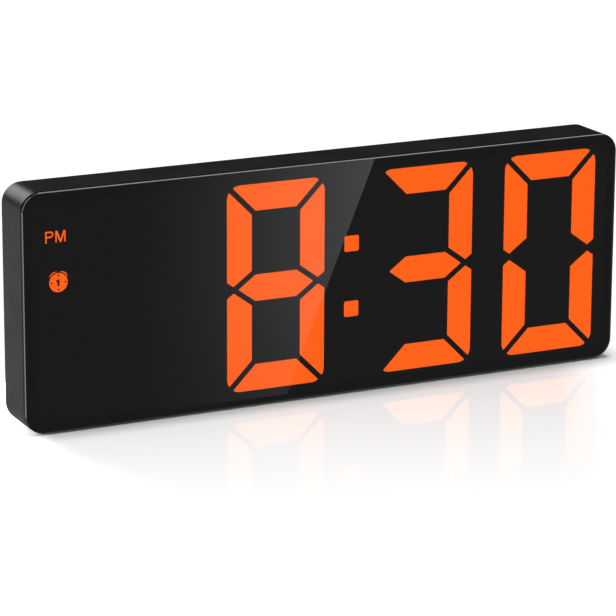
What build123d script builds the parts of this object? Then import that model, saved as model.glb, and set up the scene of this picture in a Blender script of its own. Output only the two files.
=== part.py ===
from build123d import *
from math import cos, pi, radians, sin, sqrt, tan
import os

# Digital LED desk clock: a slim black case that stands on its lower edge, with a full-face dark panel
# in front of four seven-segment digits, and a battery box on its back that keeps it upright.
# Millimetres. X runs along the face, the front looks along -Y and Z is up. The origin is the middle of
# the footprint, on the table. A depth is a distance behind the front face of the panel.

# Digits and indicators, seen from the front
digit_width = 26.8
digit_height = 52.8
digit_corner_radius = 3.6
segment_stroke = 6.8
segment_gap = 1.4
segment_corner = 0.25
waist_inset = 1.8
waist_gap = 1.6
waist_slope = 36.0
digit_gap = 9.25
colon_space = 15.15
colon_dot = 4.1
colon_dot_corner = 0.5
colon_pitch = 16.9
indicator_space = 6.4
indicator_pitch = 11.4
pm_cap_height = 2.9
pm_line = 0.42
pm_space = 1.85
letter_p_width = 2.15
letter_m_width = 2.7
letter_m_shoulder = 0.6
letter_m_notch = 0.83
letter_space = 0.45
alarm_shift = 0.6
alarm_dial_radius = 2.4
alarm_bell_radius = 1.6
alarm_bell_angle = 55.0
alarm_bell_stand = 0.35
alarm_gap = 0.25
alarm_mark_radius = 0.21
alarm_mark_inset = 0.6
alarm_mark_count = 4
numeral_height = 1.75
numeral_line = 0.45
numeral_flag = 0.36
left_inset = 3.5
right_inset = 3.2

# Case
corner_radius = 5.0
case_wall = 1.8
ledge_width = 0.8
ledge_thickness = 1.2
panel_thickness = 1.0
panel_chamfer = 0.2
tape_thickness = 0.2
tape_inset = 0.5
mask_thickness = 0.15
mask_gap = 0.05
rear_edge_radius = 0.8
cover_thickness = 2.0
cover_gap = 0.15
parting_gap = 0.15
tab_width = 8.0
tab_thickness = 1.0
tab_reach = 0.8
tab_gap = 0.15
tab_pitch = 30.0

# Display module
reflector_depth = 5.8
reflector_gap = 0.15
reflector_edge = 0.5
diffuser_thickness = 1.2
diffuser_lap = 0.3
diffuser_gap = 0.05
board_thickness = 1.2
board_gap = 0.3
led_length = 2.0
led_width = 1.25
led_height = 0.8
led_pitch = 9.0

# Screws and bosses
boss_radius = 2.4
boss_gap = 0.3
case_screw_radius = 1.0
case_screw_head_radius = 2.0
case_screw_head_height = 1.1
case_screw_length = 5.0
board_screw_radius = 0.8
board_screw_head_radius = 1.6
board_screw_head_height = 1.0
board_screw_length = 4.4
board_screw_space = 3.65
screw_gap = 0.05
head_gap = 0.3
head_margin = 0.8
screw_head_edge = 0.3
screw_cross_width = 0.5
screw_cross_margin = 0.8
screw_cross_depth = 0.6
screw_end_gap = 0.5

# Battery box: three AAA cells lie side by side, head to tail
cell_count = 3
cell_diameter = 10.5
cell_length = 44.5
cell_nub_radius = 1.9
cell_nub_length = 0.9
cell_edge_radius = 0.5
cell_gap = 0.5
cell_floor_gap = 0.2
cell_door_gap = 0.3
bay_board_gap = 0.3
bay_floor = 1.0
tray_wall = 1.2
spring_length = 4.0
spring_radius = 2.6
spring_wire = 0.5
spring_turns = 3
spring_seat_gap = 0.05
contact_thickness = 0.4
contact_size = 8.0
contact_gap = 0.05
contact_tail_width = 3.0
contact_slot_gap = 0.2
box_wall = 2.6
box_base = 2.4
box_corner_radius = 3.0
box_edge_radius = 1.0
bay_rise = 1.6

# Battery door
door_thickness = 1.6
door_lap = 1.2
door_gap = 0.2
door_seat_gap = 0.05
hinge_barrel_radius = 1.3
hinge_pin_radius = 0.9
hinge_pin_length = 1.5
hinge_pin_gap = 0.05
latch_width = 12.0
latch_reach = 1.2
grip_count = 4
grip_width = 12.0
grip_bar = 0.7
grip_pitch = 1.6
grip_height = 0.35
grip_drop = 3.0

# Controls and sockets on the back
button_space = 1.4
button_radius = 3.0
button_flange = 0.8
button_flange_thickness = 0.8
button_flange_gap = 0.3
button_proud = 0.8
button_edge_radius = 0.4
button_gap = 0.15
button_rise = 6.0
switch_size = 4.6
switch_height = 1.6
switch_pocket_depth = 1.2
plunger_radius = 1.2
plunger_gap = 0.1
plunger_stand = 1.1
plunger_depth = 0.4
usb_width = 8.94
usb_height = 3.26
usb_wall = 0.3
usb_recess = 0.5
usb_gap = 0.25
usb_fit = 0.05
usb_tongue_width = 6.7
usb_tongue_thickness = 0.7
usb_tongue_recess = 0.9
usb_base = 0.9
usb_drop = 16.0

# Parts on the back of the board
buzzer_radius = 4.5
buzzer_height = 3.0
buzzer_port_radius = 1.0
buzzer_port_depth = 1.2
buzzer_drop = 14.0
sound_hole_radius = 0.7
sound_hole_ring = 2.6
sound_hole_count = 6
chip_height = 2.2
chip_lead_width = 0.4
chip_lead_thickness = 0.25
chip_lead_reach = 1.4
chip_lead_pitch = 1.27
clock_chip_leads = 14
clock_chip_body = 7.5
driver_chip_leads = 8
driver_chip_body = 4.0
chip_spacing = 14.0
crystal_radius = 1.0
crystal_length = 6.0
crystal_edge_radius = 0.6
crystal_space = 3.0
resistor_length = 1.6
resistor_width = 0.8
resistor_height = 0.5
resistor_pitch = 1.6
resistor_count = 8
resistor_space = 0.8

# Feet
foot_proud = 0.4
foot_recess = 0.6
foot_length = 14.0
foot_width = 7.0
foot_corner_radius = 1.5
foot_gap = 0.1
foot_inset = 18.0
rear_foot_width = 5.0
rear_foot_pitch = 34.0

# Widths and heights that follow
rim = case_wall + ledge_width
edge_margin = rim + reflector_gap + reflector_edge + diffuser_lap + diffuser_gap
case_height = digit_height + 2 * edge_margin
indicator_column = letter_p_width + letter_space + letter_m_width
row_width = 4 * digit_width + 2 * digit_gap + colon_space
case_width = 2 * rim + left_inset + indicator_column + indicator_space + row_width + right_inset
cavity_width = case_width - 2 * case_wall
cavity_height = case_height - 2 * case_wall
cavity_radius = corner_radius - case_wall
window_width = case_width - 2 * rim
window_height = case_height - 2 * rim
window_radius = corner_radius - rim

# Depths that follow
display_front = panel_thickness + tape_thickness
ledge_back = display_front + ledge_thickness
board_front = display_front + reflector_depth
board_back = board_front + board_thickness
plunger_front = board_back + switch_height - plunger_depth
button_front = board_back + switch_height + plunger_stand
cover_front = button_front + button_flange_thickness + button_flange_gap
case_depth = cover_front + cover_thickness
bay_floor_front = board_back + bay_board_gap
bay_floor_back = bay_floor_front + bay_floor
cell_axis = bay_floor_back + cell_floor_gap + cell_diameter / 2
door_front = cell_axis + cell_diameter / 2 + cell_door_gap
total_depth = door_front + door_thickness
front_y = -total_depth / 2
case_mid_z = foot_proud + case_height / 2

# Places across the face, from the middle of the case
indicator_x = -window_width / 2 + left_inset + indicator_column / 2
hour_tens_x = indicator_x + indicator_column / 2 + indicator_space + digit_width / 2
hour_x = hour_tens_x + digit_width + digit_gap
minute_tens_x = hour_x + digit_width + colon_space
minute_x = minute_tens_x + digit_width + digit_gap
colon_x = (hour_x + minute_tens_x) / 2
digit_places = [hour_tens_x, hour_x, minute_tens_x, minute_x]
colon_points = [(colon_x, colon_pitch / 2), (colon_x, -colon_pitch / 2)]
boss_z = cavity_height / 2 - cover_gap - head_margin - head_gap - case_screw_head_radius
pm_z = boss_z - boss_radius - boss_gap - pm_space - diffuser_lap - pm_cap_height / 2
pm_point = (indicator_x, pm_z)
alarm_point = (indicator_x + alarm_shift, pm_z - indicator_pitch)
hour_gap_x = (hour_tens_x + hour_x) / 2
minute_gap_x = (minute_tens_x + minute_x) / 2
boss_columns = [indicator_x, hour_gap_x, minute_gap_x]
boss_points = [(x, side * boss_z) for x in boss_columns for side in (-1, 1)]
board_screw_z = boss_z - boss_radius - boss_gap - board_screw_space - board_screw_head_radius
board_screw_points = [(x, side * board_screw_z) for x in (hour_gap_x, minute_gap_x) for side in (-1, 1)]

# Battery box, bay and door
cell_pitch = cell_diameter + cell_gap
bay_length = cell_length + spring_length + 2 * (contact_thickness + contact_gap)
bay_height = cell_count * cell_pitch + cell_gap
box_x = (hour_gap_x + minute_gap_x) / 2
box_bottom = -case_height / 2
bay_bottom = box_bottom + box_base + bay_rise
bay_mid_z = bay_bottom + bay_height / 2
door_width = bay_length + 2 * door_lap
door_bottom = box_bottom + box_base + door_gap
door_top = bay_bottom + bay_height + door_lap
hinge_z = door_bottom + hinge_barrel_radius
hinge_depth = total_depth - hinge_barrel_radius
box_width = door_width + 2 * (door_gap + box_wall)
box_top = door_top + door_gap + box_wall
box_height = box_top - box_bottom
box_mid_z = (box_top + box_bottom) / 2
cell_rows = [bay_mid_z + ((cell_count - 1) / 2 - row) * cell_pitch for row in range(cell_count)]
cell_ways = [1 - 2 * (row % 2) for row in range(cell_count)]

# Middles of the free board on each side of the battery box
right_x = (box_x + box_width / 2 + cavity_width / 2) / 2
left_x = (box_x - box_width / 2 - cavity_width / 2) / 2
button_names = ["set", "up", "down", "alarm"]
button_pitch = 2 * (button_radius + button_flange) + button_space
button_row = button_pitch * (len(button_names) - 1)
button_points = [
    (right_x - button_row / 2 + place * button_pitch, button_rise) for place in range(len(button_names))
]
buzzer_point = (right_x, -buzzer_drop)
usb_point = (left_x, -usb_drop)


def facing(depth):
    """Plane at this depth, centred on the case, with x to the right and y up as seen from the front."""
    return Plane(origin=(0, front_y + depth, case_mid_z), x_dir=(1, 0, 0), z_dir=(0, -1, 0))


def crosswise(x, depth, height, way=1):
    """Plane across the clock's length at a point of the face, with x to the back, looking along way."""
    return Plane(origin=(x, front_y + depth, case_mid_z + height), x_dir=(0, 1, 0), z_dir=(way, 0, 0))


def flipped(points, across, upright):
    """The same outline mirrored across the digit's upright middle line, its level one, or both."""
    return [(x * across, z * upright) for x, z in points]


def segment_outlines():
    """Corner points of the seven segments, from the middle of a digit."""
    half_width = digit_width / 2
    half_height = digit_height / 2
    inner_width = half_width - segment_stroke
    inner_height = half_height - segment_stroke
    miter = segment_gap / sqrt(2)
    rise = tan(radians(waist_slope))
    tip = waist_gap / 2
    shoulder = tip + (segment_stroke - waist_inset) * rise
    heel = tip + waist_inset * rise
    bar_tip = half_width - waist_inset - (segment_gap / cos(radians(waist_slope)) - tip) / rise
    bar_shoulder = bar_tip - segment_stroke / 2 / rise
    top = [
        (-half_width + miter, half_height),
        (half_width - miter, half_height),
        (inner_width - miter, inner_height),
        (-inner_width + miter, inner_height),
    ]
    upper_left = [
        (-half_width, half_height - miter),
        (-inner_width, inner_height - miter),
        (-inner_width, shoulder),
        (-half_width + waist_inset, tip),
        (-half_width, heel),
    ]
    middle = [
        (-bar_tip, 0),
        (-bar_shoulder, segment_stroke / 2),
        (bar_shoulder, segment_stroke / 2),
        (bar_tip, 0),
        (bar_shoulder, -segment_stroke / 2),
        (-bar_shoulder, -segment_stroke / 2),
    ]
    return {
        "top": top,
        "upper_right": flipped(upper_left, -1, 1),
        "lower_right": flipped(upper_left, -1, -1),
        "bottom": flipped(top, 1, -1),
        "lower_left": flipped(upper_left, 1, -1),
        "upper_left": upper_left,
        "middle": middle,
    }


def segment_face(points):
    """One segment's lit face, cut to the digit's rounded outline, with its own corners eased."""
    with BuildSketch() as face:
        with BuildLine():
            Polyline(*points, close=True)
        make_face()
        RectangleRounded(digit_width, digit_height, digit_corner_radius, mode=Mode.INTERSECT)
        offset(amount=-segment_corner)
        offset(amount=segment_corner)
    return face.sketch


def grown(face, margin):
    """The same face with its edge moved outwards."""
    with BuildSketch() as wider:
        add(face)
        offset(amount=margin)
    return wider.sketch


def boss_shape(margin):
    """Draws every screw boss with its web to the nearest long wall, in the open sketch."""
    web = case_height / 2 - case_wall / 2 - boss_z
    for x, z in boss_points:
        side = 1 if z > 0 else -1
        with Locations((x, z)):
            Circle(boss_radius + margin)
        with Locations((x, z + side * web / 2)):
            Rectangle(2 * (boss_radius + margin), web)


def save(builder, name):
    """Labels a finished piece and writes its file."""
    builder.part.label = name
    export_step(builder.part, f"parts/{name}.step")


os.makedirs("parts", exist_ok=True)

segment_faces = {name: segment_face(points) for name, points in segment_outlines().items()}
diffuser_faces = {name: grown(face, diffuser_lap) for name, face in segment_faces.items()}
pocket_faces = {name: grown(face, diffuser_lap + diffuser_gap) for name, face in segment_faces.items()}

# PM in plain capitals
bowl_height = (pm_cap_height + pm_line) / 2
with BuildSketch() as pm_letters:
    letter_left = -indicator_column / 2
    letter_base = -pm_cap_height / 2
    with Locations((letter_left, letter_base)):
        Rectangle(pm_line, pm_cap_height, align=Align.MIN)
    with Locations((letter_left, letter_base + pm_cap_height - bowl_height)):
        Rectangle(letter_p_width - bowl_height / 2, bowl_height, align=Align.MIN)
    with Locations((letter_left + letter_p_width - bowl_height / 2, pm_cap_height / 2 - bowl_height / 2)):
        Circle(bowl_height / 2)
        Circle(bowl_height / 2 - pm_line, mode=Mode.SUBTRACT)
    counter_width = letter_p_width - bowl_height / 2 - pm_line
    with Locations((letter_left + pm_line, pm_cap_height / 2 - bowl_height + pm_line)):
        Rectangle(counter_width, bowl_height - 2 * pm_line, align=Align.MIN, mode=Mode.SUBTRACT)
    m_left = letter_left + letter_p_width + letter_space
    m_right = m_left + letter_m_width
    m_mid = (m_left + m_right) / 2
    for stem_x in (m_left, m_right - pm_line):
        with Locations((stem_x, letter_base)):
            Rectangle(pm_line, pm_cap_height, align=Align.MIN)
    with BuildLine():
        Polyline(
            (m_left, -letter_base),
            (m_left + letter_m_shoulder, -letter_base),
            (m_mid, letter_base + letter_m_notch),
            (m_right - letter_m_shoulder, -letter_base),
            (m_right, -letter_base),
            (m_mid + pm_line / 2, letter_base),
            (m_mid - pm_line / 2, letter_base),
            close=True,
        )
    make_face()

# Alarm clock pictogram: a dial with four hour marks and a plain 1, under two bells
alarm_reach = alarm_dial_radius + alarm_gap + alarm_bell_stand
with BuildSketch() as alarm_sign:
    bell_reach = alarm_reach - alarm_bell_radius
    for side in (-1, 1):
        bell_angle = radians(90 + side * (90 - alarm_bell_angle))
        with Locations((bell_reach * cos(bell_angle), bell_reach * sin(bell_angle))):
            Circle(alarm_bell_radius)
    Circle(alarm_dial_radius + alarm_gap, mode=Mode.SUBTRACT)
    Circle(alarm_dial_radius)
    with PolarLocations(alarm_dial_radius - alarm_mark_inset, alarm_mark_count):
        Circle(alarm_mark_radius, mode=Mode.SUBTRACT)
    stem = numeral_line / 2
    numeral_top = numeral_height / 2
    with BuildLine():
        Polyline(
            (stem, numeral_top),
            (stem, -numeral_top),
            (-stem, -numeral_top),
            (-stem, numeral_top - numeral_flag - stem),
            (-stem - numeral_flag, numeral_top - numeral_flag - numeral_line),
            (-stem - numeral_flag, numeral_top - numeral_flag),
            close=True,
        )
    make_face(mode=Mode.SUBTRACT)

with BuildSketch() as colon_face:
    RectangleRounded(colon_dot, colon_dot, colon_dot_corner)
pm_block = (indicator_column + 2 * diffuser_lap, pm_cap_height + 2 * diffuser_lap)
alarm_block = 2 * (alarm_reach + diffuser_lap)

# Front panel
with BuildPart() as front_panel:
    with BuildSketch(facing(0)):
        RectangleRounded(case_width, case_height, corner_radius)
    extrude(amount=-panel_thickness)
    chamfer(front_panel.faces().sort_by(Axis.Y)[0].edges(), panel_chamfer)
save(front_panel, "front_panel")

# Adhesive ring between the panel and the housing
with BuildPart() as panel_tape:
    with BuildSketch(facing(panel_thickness)):
        RectangleRounded(
            case_width - 2 * tape_inset, case_height - 2 * tape_inset, corner_radius - tape_inset
        )
        RectangleRounded(window_width, window_height, window_radius, mode=Mode.SUBTRACT)
    extrude(amount=-tape_thickness)
save(panel_tape, "panel_tape")

# Black film whose clear windows give every segment its outline
with BuildPart() as mask_film:
    with BuildSketch(facing(display_front - mask_thickness)):
        RectangleRounded(window_width - 2 * mask_gap, window_height - 2 * mask_gap, window_radius - mask_gap)
        for digit_x in digit_places:
            with Locations((digit_x, 0)):
                for face in segment_faces.values():
                    add(face, mode=Mode.SUBTRACT)
        with Locations(*colon_points):
            add(colon_face.sketch, mode=Mode.SUBTRACT)
        with Locations(pm_point):
            add(pm_letters.sketch, mode=Mode.SUBTRACT)
        with Locations(alarm_point):
            add(alarm_sign.sketch, mode=Mode.SUBTRACT)
    extrude(amount=-mask_thickness)
save(mask_film, "mask_film")

# White frame with a stepped light well behind every window
with BuildPart() as reflector_frame:
    with BuildSketch(facing(display_front)):
        RectangleRounded(
            window_width - 2 * reflector_gap,
            window_height - 2 * reflector_gap,
            window_radius - reflector_gap,
        )
    extrude(amount=-reflector_depth)
    with BuildSketch(facing(ledge_back)):
        RectangleRounded(
            cavity_width - 2 * reflector_gap,
            cavity_height - 2 * reflector_gap,
            cavity_radius - reflector_gap,
        )
    extrude(amount=-(reflector_depth - ledge_thickness))
    with BuildSketch(facing(display_front)):
        boss_shape(boss_gap)
    extrude(amount=-reflector_depth, mode=Mode.SUBTRACT)
    with BuildSketch(facing(display_front)):
        for digit_x in digit_places:
            with Locations((digit_x, 0)):
                for face in pocket_faces.values():
                    add(face)
        with Locations(*colon_points):
            add(grown(colon_face.sketch, diffuser_lap + diffuser_gap))
        with Locations(pm_point):
            Rectangle(pm_block[0] + 2 * diffuser_gap, pm_block[1] + 2 * diffuser_gap)
        with Locations(alarm_point):
            Rectangle(alarm_block + 2 * diffuser_gap, alarm_block + 2 * diffuser_gap)
    extrude(amount=-diffuser_thickness, mode=Mode.SUBTRACT)
    with BuildSketch(facing(display_front)):
        for digit_x in digit_places:
            with Locations((digit_x, 0)):
                for face in segment_faces.values():
                    add(face)
        with Locations(*colon_points):
            add(colon_face.sketch)
        with Locations(pm_point):
            Rectangle(pm_block[0] - 2 * diffuser_lap, pm_block[1] - 2 * diffuser_lap)
        with Locations(alarm_point):
            Rectangle(alarm_block - 2 * diffuser_lap, alarm_block - 2 * diffuser_lap)
    extrude(amount=-reflector_depth, mode=Mode.SUBTRACT)
    with BuildSketch(facing(board_front)):
        with Locations(*board_screw_points):
            Circle(board_screw_radius + screw_gap)
    extrude(amount=board_screw_length - board_thickness + screw_end_gap, mode=Mode.SUBTRACT)
save(reflector_frame, "reflector_frame")

# Light-spreading blocks, grouped by digit and by whether they are lit at 8:30
eight = list(segment_faces)
three = ["top", "upper_right", "lower_right", "bottom", "middle"]
zero = [name for name in eight if name != "middle"]
diffuser_groups = [
    ("hour_tens_diffusers", hour_tens_x, eight),
    ("hour_diffusers", hour_x, eight),
    ("minute_tens_diffusers", minute_tens_x, three),
    ("minute_tens_dark_diffusers", minute_tens_x, [name for name in eight if name not in three]),
    ("minute_diffusers", minute_x, zero),
    ("minute_dark_diffuser", minute_x, ["middle"]),
]
for group_name, digit_x, names in diffuser_groups:
    with BuildPart() as diffusers:
        with BuildSketch(facing(display_front)):
            with Locations((digit_x, 0)):
                for name in names:
                    add(diffuser_faces[name])
        extrude(amount=-diffuser_thickness)
    save(diffusers, group_name)

with BuildPart() as colon_diffusers:
    with BuildSketch(facing(display_front)):
        with Locations(*colon_points):
            add(grown(colon_face.sketch, diffuser_lap))
    extrude(amount=-diffuser_thickness)
save(colon_diffusers, "colon_diffusers")

with BuildPart() as pm_diffuser:
    with BuildSketch(facing(display_front)):
        with Locations(pm_point):
            Rectangle(*pm_block)
    extrude(amount=-diffuser_thickness)
save(pm_diffuser, "pm_diffuser")

with BuildPart() as alarm_diffuser:
    with BuildSketch(facing(display_front)):
        with Locations(alarm_point):
            Rectangle(alarm_block, alarm_block)
    extrude(amount=-diffuser_thickness)
save(alarm_diffuser, "alarm_diffuser")

# Circuit board behind the reflector, with slots for the tails of the two battery terminals
contact_left = box_x - bay_length / 2 + contact_gap
contact_right = box_x + bay_length / 2 - contact_gap
last_contact = contact_right - contact_thickness if cell_ways[-1] > 0 else contact_left
tail_points = [
    (contact_left + contact_thickness / 2, cell_rows[0]),
    (last_contact + contact_thickness / 2, cell_rows[-1]),
]
tail_slot = (contact_thickness + 2 * contact_slot_gap, contact_tail_width + 2 * contact_slot_gap)
with BuildPart() as display_board:
    with BuildSketch(facing(board_front)):
        RectangleRounded(
            cavity_width - 2 * board_gap, cavity_height - 2 * board_gap, cavity_radius - board_gap
        )
        with Locations(*board_screw_points):
            Circle(board_screw_radius + screw_gap, mode=Mode.SUBTRACT)
        with Locations(*tail_points):
            Rectangle(*tail_slot, mode=Mode.SUBTRACT)
    extrude(amount=-board_thickness)
    with BuildSketch(facing(board_front)):
        boss_shape(boss_gap)
    extrude(amount=-board_thickness, mode=Mode.SUBTRACT)
save(display_board, "display_board")

# Two light-emitting diodes behind each segment, and one behind each dot and indicator
bar_z = (digit_height - segment_stroke) / 2
post_x = (digit_width - segment_stroke) / 2
led_points = colon_points + [pm_point, alarm_point]
for digit_x in digit_places:
    for side in (-1, 1):
        led_points += [(digit_x + side * led_pitch / 2, z) for z in (-bar_z, 0, bar_z)]
        for post_z in (-digit_height / 4, digit_height / 4):
            led_points += [(digit_x + side * post_x, post_z + end * led_pitch / 2) for end in (-1, 1)]
with BuildPart() as segment_leds:
    with BuildSketch(facing(board_front)):
        with Locations(*led_points):
            Rectangle(led_length, led_width)
    extrude(amount=led_height)
save(segment_leds, "segment_leds")


def chip(name, lead_count, body_width, center):
    """A flat package on the back of the board, with a row of bent leads along each long side.

    Args:
        name: node name
        lead_count: leads in each row
        body_width: width of the moulded body, across the rows
        center: place of its middle on the face
    """
    body_length = lead_count * chip_lead_pitch + chip_lead_width
    with BuildPart() as package:
        with BuildSketch(facing(board_back)):
            with Locations(center):
                Rectangle(body_length, body_width)
        extrude(amount=-chip_height)
        with BuildSketch(facing(board_back)):
            with Locations(center):
                with GridLocations(chip_lead_pitch, body_width + chip_lead_reach, lead_count, 2):
                    Rectangle(chip_lead_width, chip_lead_reach)
        extrude(amount=-chip_lead_thickness)
    save(package, name)


chip("clock_chip", clock_chip_leads, clock_chip_body, (left_x, 0))
chip("driver_chip", driver_chip_leads, driver_chip_body, (left_x, chip_spacing))

# Watch crystal, a small can lying on the board beside the clock chip
crystal_x = left_x - (clock_chip_leads * chip_lead_pitch + chip_lead_width) / 2 - crystal_space
with BuildPart() as crystal:
    with BuildSketch(facing(board_back)):
        with Locations((crystal_x, 0)):
            Rectangle(2 * crystal_radius, crystal_length)
    extrude(amount=-2 * crystal_radius)
    fillet(crystal.edges().filter_by(Axis.Z).group_by(Axis.Y)[-1], crystal_edge_radius)
save(crystal, "crystal")

resistor_z = chip_spacing + driver_chip_body / 2 + chip_lead_reach + resistor_space + resistor_length / 2
with BuildPart() as board_resistors:
    with BuildSketch(facing(board_back)):
        with Locations((left_x, resistor_z)):
            with GridLocations(resistor_pitch, 0, resistor_count, 1):
                Rectangle(resistor_width, resistor_length)
    extrude(amount=-resistor_height)
save(board_resistors, "board_resistors")

with BuildPart() as buzzer:
    with BuildSketch(facing(board_back)):
        with Locations(buzzer_point):
            Circle(buzzer_radius)
    extrude(amount=-buzzer_height)
    with BuildSketch(facing(board_back + buzzer_height)):
        with Locations(buzzer_point):
            Circle(buzzer_port_radius)
    extrude(amount=buzzer_port_depth, mode=Mode.SUBTRACT)
save(buzzer, "buzzer")

# Power socket, upright on the board and open to the back
usb_back = case_depth - usb_recess
with BuildPart() as usb_shell:
    with BuildSketch(facing(board_back)):
        with Locations(usb_point):
            SlotOverall(usb_width, usb_height)
            SlotOverall(usb_width - 2 * usb_wall, usb_height - 2 * usb_wall, mode=Mode.SUBTRACT)
    extrude(amount=-(usb_back - board_back))
save(usb_shell, "usb_shell")

with BuildPart() as usb_tongue:
    with BuildSketch(facing(board_back)):
        with Locations(usb_point):
            SlotOverall(
                usb_width - 2 * usb_wall - 2 * usb_fit, usb_height - 2 * usb_wall - 2 * usb_fit
            )
    extrude(amount=-usb_base)
    with BuildSketch(facing(board_back)):
        with Locations(usb_point):
            Rectangle(usb_tongue_width, usb_tongue_thickness)
    extrude(amount=-(usb_back - usb_tongue_recess - board_back))
save(usb_tongue, "usb_tongue")

# Tactile switches, each with a pocket for its plunger
with BuildPart() as switch_bodies:
    with BuildSketch(facing(board_back)):
        with Locations(*button_points):
            Rectangle(switch_size, switch_size)
    extrude(amount=-switch_height)
    with BuildSketch(facing(board_back + switch_height)):
        with Locations(*button_points):
            Circle(plunger_radius + plunger_gap)
    extrude(amount=switch_pocket_depth, mode=Mode.SUBTRACT)
save(switch_bodies, "switch_bodies")

for button_name, button_point in zip(button_names, button_points):
    with BuildPart() as plunger:
        with BuildSketch(facing(plunger_front)):
            with Locations(button_point):
                Circle(plunger_radius)
        extrude(amount=-(button_front - plunger_front))
    save(plunger, f"{button_name}_plunger")

    with BuildPart() as button:
        with BuildSketch(facing(button_front)):
            with Locations(button_point):
                Circle(button_radius + button_flange)
        extrude(amount=-button_flange_thickness)
        with BuildSketch(facing(button_front)):
            with Locations(button_point):
                Circle(button_radius)
        extrude(amount=-(case_depth + button_proud - button_front))
        fillet(button.faces().sort_by(Axis.Y)[-1].edges(), button_edge_radius)
    save(button, f"{button_name}_button")

# Housing: a frame with an inner ledge at the front, open at the back
foot_points = [
    (side * (case_width / 2 - foot_inset), front_y + (display_front + case_depth) / 2) for side in (-1, 1)
]
tab_points = [(cavity_width / 2, side * tab_pitch / 2) for side in (-1, 1)]
with BuildPart() as housing:
    with BuildSketch(facing(display_front)):
        RectangleRounded(case_width, case_height, corner_radius)
    extrude(amount=-(case_depth - display_front))
    fillet(housing.faces().sort_by(Axis.Y)[-1].edges(), rear_edge_radius)
    with BuildSketch(facing(display_front)):
        RectangleRounded(window_width, window_height, window_radius)
    extrude(amount=-(case_depth - display_front), mode=Mode.SUBTRACT)
    with BuildSketch(facing(ledge_back)):
        RectangleRounded(cavity_width, cavity_height, cavity_radius)
    extrude(amount=-(case_depth - ledge_back), mode=Mode.SUBTRACT)
    with BuildSketch(facing(ledge_back)):
        boss_shape(0)
    extrude(amount=-(cover_front - ledge_back))
    with BuildSketch(facing(cover_front)):
        with Locations(*boss_points):
            Circle(case_screw_radius + screw_gap)
    extrude(amount=case_screw_length + screw_end_gap, mode=Mode.SUBTRACT)
    with BuildSketch(facing(cover_front - tab_gap)):
        with Locations(*tab_points):
            Rectangle(2 * (tab_reach + tab_gap), tab_width + 2 * tab_gap)
    extrude(amount=-(tab_thickness + 2 * tab_gap), mode=Mode.SUBTRACT)
    with BuildSketch(Plane.XY.offset(foot_proud)):
        with Locations(*foot_points):
            RectangleRounded(
                foot_length + 2 * foot_gap, foot_width + 2 * foot_gap, foot_corner_radius + foot_gap
            )
    extrude(amount=foot_recess, mode=Mode.SUBTRACT)
save(housing, "housing")

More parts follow.
